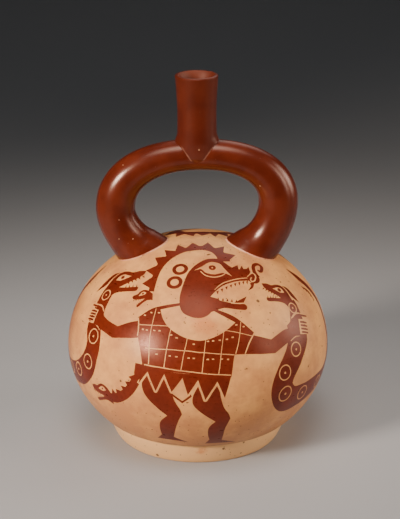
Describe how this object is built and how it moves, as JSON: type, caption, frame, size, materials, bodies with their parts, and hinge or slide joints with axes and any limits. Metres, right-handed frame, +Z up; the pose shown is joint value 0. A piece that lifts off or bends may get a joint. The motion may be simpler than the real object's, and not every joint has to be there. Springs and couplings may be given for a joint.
{
  "type": "stirrup spout vessel",
  "caption": "Hollow painted clay vessel: a rounded chamber on a ring foot, under a stirrup-shaped tube handle that carries an upright spout.",
  "frame": {"origin": "on the ground, under the centre of the foot", "axes": "+Z up through the spout; +X along the stirrup, to the right of a viewer who looks along +Y at the painted front"},
  "size_m": [0.178, 0.178, 0.2515],
  "materials": {
    "painted_clay": "cream slip painted in burnished red slip"
  },
  "bodies": {
    "root": {"stirrup_spout_vessel": "painted_clay"}
  },
  "joints": []
}
